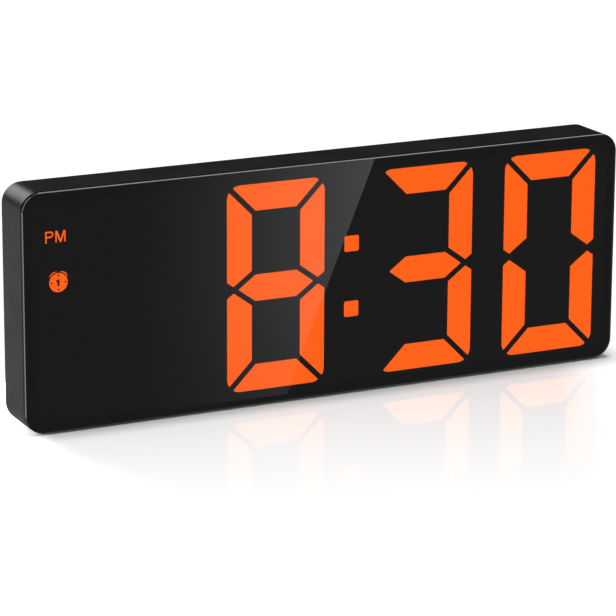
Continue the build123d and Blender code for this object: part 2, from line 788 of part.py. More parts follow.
# Rear cover: a plate let into the housing, with the battery box on its back and the bay through both
rear_foot_y = front_y + (case_depth + parting_gap + total_depth - box_edge_radius) / 2
rear_foot_points = [(box_x + side * rear_foot_pitch / 2, rear_foot_y) for side in (-1, 1)]
plate_bottom = -cavity_height / 2 + cover_gap
with BuildPart() as rear_cover:
    with BuildSketch(facing(case_depth)):
        with Locations((box_x, box_mid_z)):
            RectangleRounded(box_width, box_height, box_corner_radius)
    extrude(amount=-(total_depth - case_depth))
    with BuildSketch(facing(case_depth)):
        with Locations((box_x, box_bottom)):
            Rectangle(box_width, 2 * (plate_bottom - box_bottom))
    extrude(amount=-parting_gap, mode=Mode.SUBTRACT)
    fillet(rear_cover.faces().sort_by(Axis.Y)[-1].edges(), box_edge_radius)
    with BuildSketch(facing(cover_front)):
        RectangleRounded(
            cavity_width - 2 * cover_gap, cavity_height - 2 * cover_gap, cavity_radius - cover_gap
        )
    extrude(amount=-cover_thickness)
    with BuildSketch(facing(cover_front)):
        with Locations(*tab_points):
            Rectangle(2 * tab_reach, tab_width)
    extrude(amount=-tab_thickness)
    with BuildSketch(facing(bay_floor_front)):
        with Locations((box_x, bay_mid_z)):
            Rectangle(bay_length + 2 * tray_wall, bay_height + 2 * tray_wall)
    extrude(amount=-(cover_front - bay_floor_front))
    with BuildSketch(facing(bay_floor_back)):
        with Locations((box_x, bay_mid_z)):
            Rectangle(bay_length, bay_height)
    extrude(amount=-(total_depth - bay_floor_back), mode=Mode.SUBTRACT)
    with BuildSketch(facing(door_front - door_seat_gap)):
        with Locations((box_x, (door_bottom + door_top) / 2)):
            Rectangle(door_width + 2 * door_gap, door_top - door_bottom + 2 * door_gap)
        with Locations((box_x, door_top)):
            Rectangle(latch_width + 2 * door_gap, 2 * (latch_reach + door_gap))
    extrude(amount=-(door_thickness + door_seat_gap), mode=Mode.SUBTRACT)
    with BuildSketch(facing(hinge_depth - hinge_barrel_radius - door_gap)):
        with Locations((box_x, hinge_z)):
            Rectangle(door_width + 2 * door_gap, 2 * (hinge_barrel_radius + door_gap))
    extrude(amount=-(2 * hinge_barrel_radius + door_gap), mode=Mode.SUBTRACT)
    with BuildSketch(crosswise(box_x, hinge_depth, hinge_z)):
        Circle(hinge_pin_radius + hinge_pin_gap)
    extrude(amount=door_width / 2 + 2 * door_gap + hinge_pin_length, both=True, mode=Mode.SUBTRACT)
    with BuildSketch(facing(bay_floor_front)):
        with Locations(*tail_points):
            Rectangle(*tail_slot)
    extrude(amount=-bay_floor, mode=Mode.SUBTRACT)
    with BuildSketch(facing(cover_front)):
        with Locations(*button_points):
            Circle(button_radius + button_gap)
        with Locations(usb_point):
            SlotOverall(usb_width + 2 * usb_gap, usb_height + 2 * usb_gap)
        with Locations(buzzer_point):
            Circle(sound_hole_radius)
            with PolarLocations(sound_hole_ring, sound_hole_count):
                Circle(sound_hole_radius)
        with Locations(*boss_points):
            Circle(case_screw_radius + screw_gap)
    extrude(amount=-cover_thickness, mode=Mode.SUBTRACT)
    with BuildSketch(facing(case_depth)):
        with Locations(*boss_points):
            Circle(case_screw_head_radius + head_gap)
    extrude(amount=case_screw_head_height, mode=Mode.SUBTRACT)
    with BuildSketch(Plane.XY.offset(foot_proud)):
        with Locations(*rear_foot_points):
            RectangleRounded(
                foot_length + 2 * foot_gap, rear_foot_width + 2 * foot_gap, foot_corner_radius + foot_gap
            )
    extrude(amount=foot_recess, mode=Mode.SUBTRACT)
save(rear_cover, "rear_cover")


def screws(name, points, head_front, head_radius, head_height, shank_radius, length):
    """Cross-head screws driven from the back, as one group.

    Args:
        name: node name
        points: their places on the face
        head_front: depth of the seat under the heads
        head_radius: radius of a head
        head_height: height of a head
        shank_radius: radius of a shank
        length: length of a shank
    """
    cross_length = 2 * (head_radius - screw_cross_margin)
    with BuildPart() as group:
        with BuildSketch(facing(head_front)):
            with Locations(*points):
                Circle(head_radius)
        extrude(amount=-head_height)
        fillet(group.edges().group_by(Axis.Y)[-1], screw_head_edge)
        with BuildSketch(facing(head_front)):
            with Locations(*points):
                Circle(shank_radius)
        extrude(amount=length)
        with BuildSketch(facing(head_front + head_height - screw_cross_depth)):
            with Locations(*points):
                Rectangle(cross_length, screw_cross_width)
                Rectangle(screw_cross_width, cross_length)
        extrude(amount=-screw_cross_depth, mode=Mode.SUBTRACT)
    save(group, name)


screws(
    "case_screws",
    boss_points,
    case_depth - case_screw_head_height,
    case_screw_head_radius,
    case_screw_head_height,
    case_screw_radius,
    case_screw_length,
)
screws(
    "board_screws",
    board_screw_points,
    board_back,
    board_screw_head_radius,
    board_screw_head_height,
    board_screw_radius,
    board_screw_length,
)

# Battery door: a plate on a round lower edge, with a pin at each end and a latch tongue at the top
with BuildPart() as battery_door:
    with BuildSketch(facing(door_front)):
        with Locations((box_x, (hinge_z + door_top) / 2)):
            Rectangle(door_width, door_top - hinge_z)
        with Locations((box_x, door_top)):
            Rectangle(latch_width, 2 * latch_reach)
    extrude(amount=-door_thickness)
    with BuildSketch(crosswise(box_x, hinge_depth, hinge_z)):
        Circle(hinge_barrel_radius)
    extrude(amount=door_width / 2, both=True)
    with BuildSketch(crosswise(box_x, hinge_depth, hinge_z)):
        Circle(hinge_pin_radius)
    extrude(amount=door_width / 2 + hinge_pin_length, both=True)
    with BuildSketch(facing(total_depth - grip_height)):
        with Locations((box_x, door_top - grip_drop - (grip_count - 1) * grip_pitch / 2)):
            with GridLocations(0, grip_pitch, 1, grip_count):
                SlotOverall(grip_width, grip_bar)
    extrude(amount=-grip_height, mode=Mode.SUBTRACT)
save(battery_door, "battery_door")

# Cells, each with its springs at the flat end, alternating end for end
cell_left = contact_left + contact_thickness
cell_right = contact_right - contact_thickness
with BuildPart() as battery_cells:
    for row_z, way in zip(cell_rows, cell_ways):
        flat_end = (cell_left if way > 0 else cell_right) + way * spring_length
        body_length = cell_length - cell_nub_length
        with BuildSketch(crosswise(flat_end, cell_axis, row_z, way)):
            Circle(cell_diameter / 2)
        extrude(amount=body_length)
        with BuildSketch(crosswise(flat_end + way * body_length, cell_axis, row_z, way)):
            Circle(cell_nub_radius)
        extrude(amount=cell_nub_length)
    rims = battery_cells.edges().filter_by(GeomType.CIRCLE)
    between = (cell_nub_radius + cell_diameter / 2) / 2
    fillet(rims.filter_by(lambda rim_edge: rim_edge.radius > between), cell_edge_radius)
save(battery_cells, "battery_cells")


def spring_point(turn, way=1):
    """Centre of the wire after this many turns, from the foot of a spring that runs along x."""
    climb = spring_length - spring_wire - 2 * spring_seat_gap
    angle = 2 * pi * turn
    along = spring_seat_gap + spring_wire / 2 + climb * turn / spring_turns
    return Vector(way * along, spring_radius * cos(angle), spring_radius * sin(angle))


def spring_heading(turn, way):
    """Unit direction of the wire after this many turns."""
    climb = (spring_length - spring_wire - 2 * spring_seat_gap) / spring_turns
    angle = 2 * pi * turn
    swing = 2 * pi * spring_radius
    return Vector(way * climb, -swing * sin(angle), swing * cos(angle)).normalized()


def spring_gap():
    """Least clear distance between neighbouring turns, measured on points along the wire."""
    per_turn = 48
    points = [spring_point(i / per_turn) for i in range(spring_turns * per_turn + 1)]
    apart = per_turn // 2
    pairs = [(a, b) for i, a in enumerate(points) for b in points[i + apart :]]
    return min((a - b).length for a, b in pairs) - spring_wire


def spring_wire_path(origin, way):
    """Draws the wire's centre line as two tangent arcs to each half turn, in the open line.

    Args:
        origin: foot of the spring, on its axis
        way: 1 if it runs along +X, -1 if along -X
    """
    for half in range(2 * spring_turns):
        turns = (half / 2, (half + 1) / 2)
        start, end = [origin + spring_point(turn, way) for turn in turns]
        start_way, end_way = [spring_heading(turn, way) for turn in turns]
        chord = end - start
        along = chord.dot(start_way + end_way)
        spread = 2 * (1 - start_way.dot(end_way))
        reach = (sqrt(along**2 + spread * chord.dot(chord)) - along) / spread
        joint = (start + end + (start_way - end_way) * reach) * 0.5
        joint_way = (end - end_way * reach) - (start + start_way * reach)
        TangentArc(start, joint, tangent=start_way)
        TangentArc(joint, end, tangent=joint_way)


# Coil spring at the flat end of each cell
print(f"battery spring: least gap between turns {spring_gap():.2f} mm")
with BuildPart() as battery_springs:
    for row_z, way in zip(cell_rows, cell_ways):
        foot_x = cell_left if way > 0 else cell_right
        foot = Vector(foot_x, front_y + cell_axis, case_mid_z + row_z)
        with BuildLine() as wire:
            spring_wire_path(foot, way)
        with BuildSketch(Plane(origin=wire.line @ 0, z_dir=wire.line % 0)):
            Circle(spring_wire / 2)
        sweep(path=wire.line)
save(battery_springs, "battery_springs")

# Contact plates at the two ends of the bay: bridges across pairs of cells, and the two terminals
contact_plans = [(contact_left, 1, cell_rows[:1])]
contact_plans += [(contact_left, 1, cell_rows[row : row + 2]) for row in range(1, cell_count, 2)]
contact_plans += [(contact_right, -1, cell_rows[row : row + 2]) for row in range(0, cell_count, 2)]
with BuildPart() as contact_plates:
    for plate_x, way, rows in contact_plans:
        with BuildSketch(crosswise(plate_x, cell_axis, (rows[0] + rows[-1]) / 2, way)):
            Rectangle(contact_size, contact_size + abs(rows[0] - rows[-1]))
        extrude(amount=contact_thickness)
    with BuildSketch(facing(board_front)):
        with Locations(*tail_points):
            Rectangle(contact_thickness, contact_tail_width)
    extrude(amount=-(cell_axis - contact_size / 2 - board_front))
save(contact_plates, "contact_plates")

# Rubber pads in the recesses under the case and under the battery box
with BuildPart() as foot_pads:
    with BuildSketch(Plane.XY):
        with Locations(*foot_points):
            RectangleRounded(foot_length, foot_width, foot_corner_radius)
        with Locations(*rear_foot_points):
            RectangleRounded(foot_length, rear_foot_width, foot_corner_radius)
    extrude(amount=foot_proud + foot_recess)
save(foot_pads, "foot_pads")
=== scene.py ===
import logging
import math
from collections.abc import Iterable
from dataclasses import dataclass, field
from enum import Enum

import bmesh
import bpy
from mathutils import Matrix, Vector


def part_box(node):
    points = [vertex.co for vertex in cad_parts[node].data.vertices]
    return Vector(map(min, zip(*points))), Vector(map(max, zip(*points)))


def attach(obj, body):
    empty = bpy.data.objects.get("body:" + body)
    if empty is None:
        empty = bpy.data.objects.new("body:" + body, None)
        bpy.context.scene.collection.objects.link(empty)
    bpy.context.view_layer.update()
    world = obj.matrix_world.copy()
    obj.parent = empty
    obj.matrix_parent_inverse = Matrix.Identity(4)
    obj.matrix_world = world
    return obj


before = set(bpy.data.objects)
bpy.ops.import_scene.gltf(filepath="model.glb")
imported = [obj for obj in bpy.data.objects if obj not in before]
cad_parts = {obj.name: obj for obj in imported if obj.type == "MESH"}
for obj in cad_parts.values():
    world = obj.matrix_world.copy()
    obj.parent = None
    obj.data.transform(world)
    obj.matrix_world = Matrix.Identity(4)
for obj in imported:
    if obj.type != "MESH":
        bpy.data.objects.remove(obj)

# Digital LED desk clock: a slim black case behind a full-face smoked panel, with orange segments at 8:30.
# Metres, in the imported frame: the face looks along -Y and Z is up.

LOG = logging.getLogger("desk_clock")
MM = 0.001
Rgb = tuple[float, float, float]
Point = tuple[float, float, float]
Span = tuple[float, float]
Socket = bpy.types.NodeSocket
TIN: Rgb = (0.62, 0.62, 0.60)
TIN_ROUGHNESS = 0.3


class Surface:
    """One material in the making: its node tree, its shader and the piece's own coordinates."""

    def __init__(self, name: str) -> None:
        """Starts a material with one Principled shader.

        Args:
            name: the material's name
        """
        self.material = bpy.data.materials.new(name)
        self.material.use_nodes = True
        self.nodes = self.material.node_tree.nodes
        self.links = self.material.node_tree.links
        self.shader = self.nodes["Principled BSDF"]
        self.output = self.nodes["Material Output"]
        self.place = self.nodes.new("ShaderNodeTexCoord").outputs["Object"]

    def feed(self, socket: Socket, value: object) -> None:
        """Sets a socket to a plain value, or links another node's output to it.

        Args:
            socket: the input that is fed
            value: a number, a colour, a vector or an output
        """
        if isinstance(value, Socket):
            self.links.new(value, socket)
        elif isinstance(value, tuple) and len(value) == 3 and socket.type == "RGBA":
            socket.default_value = (*value, 1.0)
        else:
            socket.default_value = value

    def set(self, **values: object) -> None:
        """Feeds the shader's inputs, named with underscores for spaces."""
        for name, value in values.items():
            self.feed(self.shader.inputs[name.replace("_", " ")], value)

    def fed(self, name: str) -> object:
        """What a shader's input holds now.

        Args:
            name: the input's name

        Returns:
            the output linked to it, or its plain value
        """
        socket = self.shader.inputs[name]
        if socket.is_linked:
            return socket.links[0].from_socket
        value = socket.default_value
        return tuple(value)[:3] if socket.type == "RGBA" else value

    def math(self, operation: str, *values: object) -> Socket:
        """A Math node on one to three values.

        Args:
            operation: Blender's name of the operation
            values: numbers or outputs

        Returns:
            the result's output
        """
        node = self.nodes.new("ShaderNodeMath")
        node.operation = operation
        for socket, value in zip(node.inputs, values):
            self.feed(socket, value)
        return node.outputs[0]

    def axes(self) -> tuple[Socket, Socket, Socket]:
        """The piece's own coordinates.

        Returns:
            x, y and z
        """
        node = self.nodes.new("ShaderNodeSeparateXYZ")
        self.feed(node.inputs[0], self.place)
        return node.outputs[0], node.outputs[1], node.outputs[2]

    def noise(self, size: float, detail: float = 3.0, stretch: Point = (1.0, 1.0, 1.0)) -> Socket:
        """Cloudy noise from 0 to 1.

        Args:
            size: size of one patch, in metres
            detail: octaves of finer noise in it
            stretch: how much closer the patches stand along each axis

        Returns:
            the noise's value
        """
        mapping = self.nodes.new("ShaderNodeMapping")
        self.feed(mapping.inputs["Vector"], self.place)
        mapping.inputs["Scale"].default_value = stretch
        node = self.nodes.new("ShaderNodeTexNoise")
        self.feed(node.inputs["Vector"], mapping.outputs[0])
        node.inputs["Scale"].default_value = 1.0 / size
        node.inputs["Detail"].default_value = detail
        return node.outputs[0]

    def ramp(self, value: object, low: object, high: object, start: object, end: object) -> Socket:
        """Maps a value from one span to another, straight and clamped.

        Args:
            value: what is mapped
            low: value that becomes start
            high: value that becomes end
            start: result at low and below
            end: result at high and above

        Returns:
            the mapped value
        """
        node = self.nodes.new("ShaderNodeMapRange")
        for socket, item in zip(node.inputs, (value, low, high, start, end)):
            self.feed(socket, item)
        return node.outputs[0]

    def remap(self, value: object, low: object, high: object, start: object, end: object) -> Socket:
        """Maps a value from one span to another, eased at both ends.

        Args:
            value: what is mapped
            low: value that becomes start
            high: value that becomes end
            start: result at low and below
            end: result at high and above

        Returns:
            the mapped value
        """
        output = self.ramp(value, low, high, start, end)
        output.node.interpolation_type = "SMOOTHSTEP"
        return output

    def within(self, value: object, middle: object, half: float, soft: float) -> Socket:
        """Marks a band of a value.

        Args:
            value: what is tested
            middle: middle of the band
            half: half its width
            soft: width over which it fades out

        Returns:
            1 inside the band and 0 outside it
        """
        away = self.math("ABSOLUTE", self.math("SUBTRACT", value, middle))
        return self.remap(away, half, half + soft, 1.0, 0.0)

    def blend(self, share: object, first: object, second: object) -> Socket:
        """Mixes two colours.

        Args:
            share: 0 for the first colour alone, 1 for the second
            first: a colour
            second: a colour

        Returns:
            the mixed colour
        """
        node = self.nodes.new("ShaderNodeMix")
        node.data_type = "RGBA"
        colors = [socket for socket in node.inputs if socket.type == "RGBA"]
        self.feed(node.inputs[0], share)
        self.feed(colors[0], first)
        self.feed(colors[1], second)
        return next(socket for socket in node.outputs if socket.type == "RGBA")

    def patch(self, share: Socket, color: object, roughness: float, metallic: float) -> None:
        """Lays another finish over part of the surface.

        Args:
            share: 1 where the patch covers the surface
            color: its colour
            roughness: its roughness
            metallic: 1 if it is metal
        """
        self.set(
            Base_Color=self.blend(share, self.fed("Base Color"), color),
            Roughness=self.ramp(share, 0.0, 1.0, self.fed("Roughness"), roughness),
        )
        if metallic != self.fed("Metallic"):
            self.set(Metallic=self.ramp(share, 0.0, 1.0, self.fed("Metallic"), metallic))

    def normal(self, node: bpy.types.Node) -> None:
        """Puts a node on top of what shapes the normal so far.

        Args:
            node: a Bump or Bevel node
        """
        before = self.fed("Normal")
        if isinstance(before, Socket):
            self.feed(node.inputs["Normal"], before)
        self.feed(self.shader.inputs["Normal"], node.outputs[0])

    def relief(self, height: Socket, depth: float) -> None:
        """Adds fine relief.

        Args:
            height: its height, from 0 to 1
            depth: what a height of 1 measures
        """
        node = self.nodes.new("ShaderNodeBump")
        node.inputs["Distance"].default_value = depth
        self.feed(node.inputs["Height"], height)
        self.normal(node)

    def soften(self, radius: float) -> None:
        """Shades sharp edges as if they were rounded.

        Args:
            radius: radius of the rounding
        """
        node = self.nodes.new("ShaderNodeBevel")
        node.inputs["Radius"].default_value = radius
        self.normal(node)


@dataclass(frozen=True)
class Finish:
    """A moulded, pressed or cut surface: two close colours, a sheen, a fine relief and eased edges."""

    name: str
    dark: Rgb
    pale: Rgb
    roughness: float = 0.45
    uneven: float = 0.05
    metallic: float = 0.0
    specular: float = 0.5
    mottle: float = 9 * MM
    mottle_span: Span = (0.25, 0.75)
    grain: float = 0.25 * MM
    depth: float = 0.012 * MM
    edge: float = 0.0

    def sheen(self) -> Span:
        """The lowest and the highest roughness."""
        return self.roughness - self.uneven, self.roughness + self.uneven

    def make(self) -> bpy.types.Material:
        """Builds the finish.

        Returns:
            its material
        """
        surface = Surface(self.name)
        patches = surface.noise(self.mottle)
        grain = surface.noise(self.grain, detail=2.0)
        surface.set(
            Base_Color=surface.blend(patches, self.dark, self.pale),
            Roughness=surface.remap(patches, *self.mottle_span, *self.sheen()),
            Metallic=self.metallic,
            Specular_IOR_Level=self.specular,
        )
        if self.edge:
            surface.soften(self.edge)
        surface.relief(grain, self.depth)
        self.extend(surface)
        return surface.material

    def extend(self, surface: Surface) -> None:
        """Adds what only one kind of finish has; the plain kind adds nothing."""


@dataclass(frozen=True)
class SmokedAcrylic(Finish):
    """Polished see-through sheet with a smoke tint."""

    ior: float = 1.49
    wipe: Point = (1.0, 1.0, 5.0)
    wipe_span: Span = (0.45, 0.75)

    def extend(self, surface: Surface) -> None:
        """Lets light through, with faint wiping marks in the polish.

        Args:
            surface: the material in the making
        """
        wiped = surface.noise(self.mottle, detail=4.0, stretch=self.wipe)
        surface.set(
            Transmission_Weight=1.0,
            IOR=self.ior,
            Roughness=surface.remap(wiped, *self.wipe_span, 0.0, self.roughness + self.uneven),
        )


@dataclass(frozen=True)
class GlowingDiffuser(Finish):
    """Milky block that glows evenly from the lamps behind it."""

    glow: Rgb = (1.0, 0.12, 0.0)
    strength: float = 1.0

    def extend(self, surface: Surface) -> None:
        """Adds the glow."""
        surface.set(Emission_Color=self.glow, Emission_Strength=self.strength)


@dataclass(frozen=True)
class DrawnMetal(Finish):
    """Plated metal with fine lines along the way it was rolled or drawn."""

    metallic: float = 1.0
    lines: Point = (1.0, 9.0, 9.0)
    line_size: float = 1 * MM
    line_span: Span = (0.3, 0.7)
    line_depth: float = 0.004 * MM

    def extend(self, surface: Surface) -> None:
        """Adds the lines, in the sheen and in the relief.

        Args:
            surface: the material in the making
        """
        lines = surface.noise(self.line_size, detail=2.0, stretch=self.lines)
        surface.set(Roughness=surface.ramp(lines, *self.line_span, *self.sheen()))
        surface.relief(lines, self.line_depth)


@dataclass(frozen=True)
class SolderMask(Finish):
    """Green board with tracks under its lacquer and tinned vias."""

    track: Rgb = (0.030, 0.210, 0.085)
    track_length: float = 7.0
    track_pitch: float = 1.9
    track_width: float = 0.16
    track_unit: float = 1 * MM
    via_pitch: float = 4.3 * MM
    via_radius: float = 0.45 * MM
    via_rim: float = 0.045 * MM

    def extend(self, surface: Surface) -> None:
        """Draws staggered tracks and scattered vias across the board's plane.

        Args:
            surface: the material in the making
        """
        x, _, z = surface.axes()
        plane = surface.nodes.new("ShaderNodeCombineXYZ")
        surface.feed(plane.inputs[0], x)
        surface.feed(plane.inputs[1], z)
        tracks = surface.nodes.new("ShaderNodeTexBrick")
        surface.feed(tracks.inputs["Vector"], plane.outputs[0])
        tracks.inputs["Scale"].default_value = 1.0 / self.track_unit
        tracks.inputs["Mortar Size"].default_value = self.track_width
        tracks.inputs["Brick Width"].default_value = self.track_length
        tracks.inputs["Row Height"].default_value = self.track_pitch
        surface.patch(tracks.outputs["Fac"], self.track, self.roughness, 0.0)
        surface.relief(tracks.outputs["Fac"], self.depth)
        vias = surface.nodes.new("ShaderNodeTexVoronoi")
        vias.voronoi_dimensions = "2D"
        surface.feed(vias.inputs["Vector"], plane.outputs[0])
        vias.inputs["Scale"].default_value = 1.0 / self.via_pitch
        inner = self.via_radius / self.via_pitch
        outer = (self.via_radius + self.via_rim) / self.via_pitch
        round_via = surface.remap(vias.outputs["Distance"], inner, outer, 1.0, 0.0)
        surface.patch(round_via, TIN, TIN_ROUGHNESS, 1.0)


@dataclass(frozen=True)
class TinnedEnds(Finish):
    """Moulded bodies whose leads or end caps are tinned."""

    nodes: tuple[str, ...] = ()
    reach: float = 1.4 * MM
    step: float = 0.02 * MM

    def extend(self, surface: Surface) -> None:
        """Tins what reaches past the bodies, up and down.

        Args:
            surface: the material in the making
        """
        _, _, z = surface.axes()
        body: object = 0.0
        for node in self.nodes:
            low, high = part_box(node)
            half = (high.z - low.z) / 2 - self.reach
            inside = surface.within(z, (low.z + high.z) / 2, half, self.step)
            body = surface.math("ADD", body, inside)
        surface.patch(surface.math("SUBTRACT", 1.0, body), TIN, TIN_ROUGHNESS, 1.0)


@dataclass(frozen=True)
class CellJacket(Finish):
    """Printed sleeve round each battery cell, with a pale band at its button end and bare steel caps."""

    band: Rgb = (0.62, 0.64, 0.66)
    steel: Rgb = (0.64, 0.63, 0.61)
    steel_roughness: float = 0.25
    rows: int = 3
    cap: float = 0.8 * MM
    nub: float = 0.9 * MM
    spring: float = 4.0 * MM
    band_inset: float = 6.0 * MM
    band_half: float = 3.2 * MM
    step: float = 0.06 * MM

    def extend(self, surface: Surface) -> None:
        """Works out each cell's way round from its row, then lays the band and the caps.

        Args:
            surface: the material in the making
        """
        low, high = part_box("battery_cells")
        middle = (low + high) / 2
        row_half = (high.z - low.z) / (2 * self.rows)
        sleeve_half = (high.x - low.x - self.nub - self.spring) / 2
        aside = (self.spring - self.nub) / 2
        x, _, z = surface.axes()
        turned = surface.within(z, middle.z, row_half, self.step)
        sleeve = surface.ramp(turned, 0.0, 1.0, middle.x + aside, middle.x - aside)
        way = surface.ramp(turned, 0.0, 1.0, 1.0, -1.0)
        along = surface.math("MULTIPLY", surface.math("SUBTRACT", x, sleeve), way)
        band = surface.within(along, sleeve_half - self.band_inset, self.band_half, self.step)
        surface.patch(band, self.band, self.roughness, 0.0)
        covered = surface.within(along, 0.0, sleeve_half - self.cap, self.step)
        surface.patch(surface.math("SUBTRACT", 1.0, covered), self.steel, self.steel_roughness, 1.0)


def grey(level: float, warm: float = 0.0) -> Rgb:
    """A near-neutral colour.

    Args:
        level: its brightness, from 0 to 1
        warm: how much more red than blue it has, as a share

    Returns:
        red, green and blue
    """
    return (level * (1 + warm), level, level * (1 - warm))


class Look(Enum):
    """The finishes of the clock: one for each of the record's slots, and those of the added pieces."""

    PANEL = SmokedAcrylic(
        "smoked_acrylic", grey(0.13), grey(0.15), roughness=0.012, uneven=0.012,
        mottle=25 * MM, grain=12 * MM, depth=0.002 * MM,
    )
    EDGE = Finish(
        "polished_edge", grey(0.010), grey(0.014), roughness=0.10, uneven=0.02,
        grain=2 * MM, depth=0.002 * MM,
    )
    TAPE = Finish("adhesive_tape", grey(0.0012), grey(0.0020), roughness=0.75, specular=0.1)
    MASK = Finish("mask_ink", grey(0.0012), grey(0.0020), roughness=0.75, specular=0.1)
    REFLECTOR = Finish("reflector_plastic", grey(0.78, 0.01), grey(0.84, 0.01), roughness=0.5)
    LIT = GlowingDiffuser(
        "lit_diffuser", (0.22, 0.040, 0.004), (0.28, 0.055, 0.006), roughness=0.6, specular=0.1,
        glow=(1.0, 0.112, 0.0), strength=7.8,
    )
    # Painted shade: the unlit segment diffusers are the same parts as the lit ones, coloured near black
    # because no light is behind them.
    DARK = Finish("dark_diffuser", grey(0.0020, 0.1), grey(0.0031, 0.1), roughness=0.75, specular=0.1)
    CASE = Finish(
        "case_plastic", grey(0.0088, -0.01), grey(0.0106, -0.01), roughness=0.36, uneven=0.03,
        edge=0.12 * MM,
    )
    COVER = Finish(
        "cover_plastic", grey(0.0135, -0.01), grey(0.0185, -0.01), roughness=0.48,
        grain=0.35 * MM, depth=0.035 * MM, edge=0.15 * MM,
    )
    DOOR = Finish(
        "door_plastic", grey(0.0135, -0.01), grey(0.0185, -0.01), roughness=0.46,
        grain=0.35 * MM, depth=0.035 * MM, edge=0.15 * MM,
    )
    BUTTON = Finish("button_plastic", grey(0.024, -0.01), grey(0.031, -0.01), roughness=0.32, mottle=2 * MM)
    MARK = Finish("printed_mark", grey(0.44), grey(0.56), roughness=0.55, mottle=0.6 * MM, grain=0.1 * MM)
    PLUNGER = Finish("plunger_plastic", grey(0.020), grey(0.030), roughness=0.45, mottle=1 * MM)
    BOARD = SolderMask("circuit_board", (0.010, 0.085, 0.028), (0.015, 0.115, 0.040), roughness=0.32)
    LED = Finish("led_package", (0.72, 0.66, 0.48), (0.82, 0.78, 0.62), roughness=0.35, mottle=0.7 * MM)
    CHIP = TinnedEnds(
        "chip_resin", grey(0.018), grey(0.028), roughness=0.55, mottle=3 * MM,
        nodes=("clock_chip", "driver_chip"),
    )
    RESISTOR = TinnedEnds(
        "resistor_body", grey(0.016), grey(0.030), roughness=0.4, mottle=1 * MM,
        nodes=("board_resistors",), reach=0.35 * MM,
    )
    CRYSTAL = DrawnMetal(
        "crystal_can", grey(0.60, 0.01), grey(0.72, 0.01), roughness=0.25, lines=(9.0, 9.0, 1.0)
    )
    BUZZER = Finish("buzzer_shell", grey(0.012), grey(0.020), roughness=0.38, mottle=3 * MM)
    SWITCH = Finish("switch_shell", grey(0.030), grey(0.045), roughness=0.4, mottle=2 * MM)
    SOCKET = DrawnMetal(
        "socket_steel", grey(0.55, 0.01), grey(0.68, 0.01), roughness=0.24, lines=(9.0, 1.0, 9.0)
    )
    TONGUE = Finish("socket_insulator", grey(0.012), grey(0.020), roughness=0.5, mottle=2 * MM)
    CASE_SCREW = DrawnMetal(
        "black_screw", grey(0.035), grey(0.075), roughness=0.36, lines=(3.0, 1.0, 3.0)
    )
    BOARD_SCREW = DrawnMetal(
        "zinc_screw", grey(0.52), grey(0.68, 0.02), roughness=0.3, lines=(3.0, 1.0, 3.0)
    )
    CELL = CellJacket("cell_jacket", (0.020, 0.045, 0.060), (0.028, 0.058, 0.076), roughness=0.3)
    SPRING = DrawnMetal(
        "spring_steel", grey(0.58, 0.01), grey(0.70, 0.01), roughness=0.22, mottle=2 * MM
    )
    CONTACT = DrawnMetal(
        "contact_metal", grey(0.60, 0.03), grey(0.74, 0.03), roughness=0.26, lines=(9.0, 9.0, 1.0)
    )
    GOLD = DrawnMetal(
        "contact_gold", (0.72, 0.46, 0.14), (0.84, 0.58, 0.22), roughness=0.22,
        mottle=1 * MM, lines=(9.0, 1.0, 9.0),
    )
    FOOT = Finish("foot_rubber", grey(0.014), grey(0.022), roughness=0.85, depth=0.05 * MM)


def carried_over(name: str) -> bpy.types.Object:
    """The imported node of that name."""
    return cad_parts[name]


def to_object(name: str, shape: bmesh.types.BMesh) -> bpy.types.Object:
    """Turns a finished shape into an object of the scene.

    Args:
        name: the object's name
        shape: its bmesh, which is used up

    Returns:
        the object, at the origin
    """
    mesh = bpy.data.meshes.new(name)
    shape.to_mesh(mesh)
    shape.free()
    obj = bpy.data.objects.new(name, mesh)
    bpy.context.scene.collection.objects.link(obj)
    return obj


def extrude_up(shape: bmesh.types.BMesh, height: float) -> None:
    """Raises every flat face of a shape into a closed block, along its own Z.

    Args:
        shape: the bmesh that holds the faces
        height: how far they rise
    """
    rise = bmesh.ops.extrude_face_region(shape, geom=shape.faces[:])
    raised = [item for item in rise["geom"] if isinstance(item, bmesh.types.BMVert)]
    bmesh.ops.translate(shape, verts=raised, vec=(0.0, 0.0, height))
    bmesh.ops.recalc_face_normals(shape, faces=shape.faces[:])


def outline(shape: bmesh.types.BMesh, points: Iterable[Span]) -> bmesh.types.BMFace:
    """A flat face with these corners."""
    return shape.faces.new([shape.verts.new((x, y, 0.0)) for x, y in points])


@dataclass
class SubAssembly:
    """Pieces of the clock that are made and finished together."""

    looks: dict[str, Look] = field(default_factory=dict)
    made: list[tuple[bpy.types.Object, Look]] = field(default_factory=list)

    def build(self) -> None:
        """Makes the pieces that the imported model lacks; most groups have none."""

    def add(self, name: str, shape: bmesh.types.BMesh, look: Look, body: str, slot: str) -> None:
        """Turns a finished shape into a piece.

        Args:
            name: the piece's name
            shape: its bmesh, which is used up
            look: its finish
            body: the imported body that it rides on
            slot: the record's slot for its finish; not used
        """
        piece = to_object(name, shape)
        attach(piece, body)
        self.made.append((piece, look))
        LOG.info("made %s with %d faces", name, len(piece.data.polygons))

    def dress(self, materials: dict[Look, bpy.types.Material]) -> None:
        """Puts this group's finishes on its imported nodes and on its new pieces.

        Args:
            materials: the material of every finish
        """
        nodes = [(carried_over(name), look) for name, look in self.looks.items()]
        for obj, look in nodes + self.made:
            obj.data.materials.clear()
            obj.data.materials.append(materials[look])
            LOG.info("dressed %s in %s", obj.name, look.value.name)


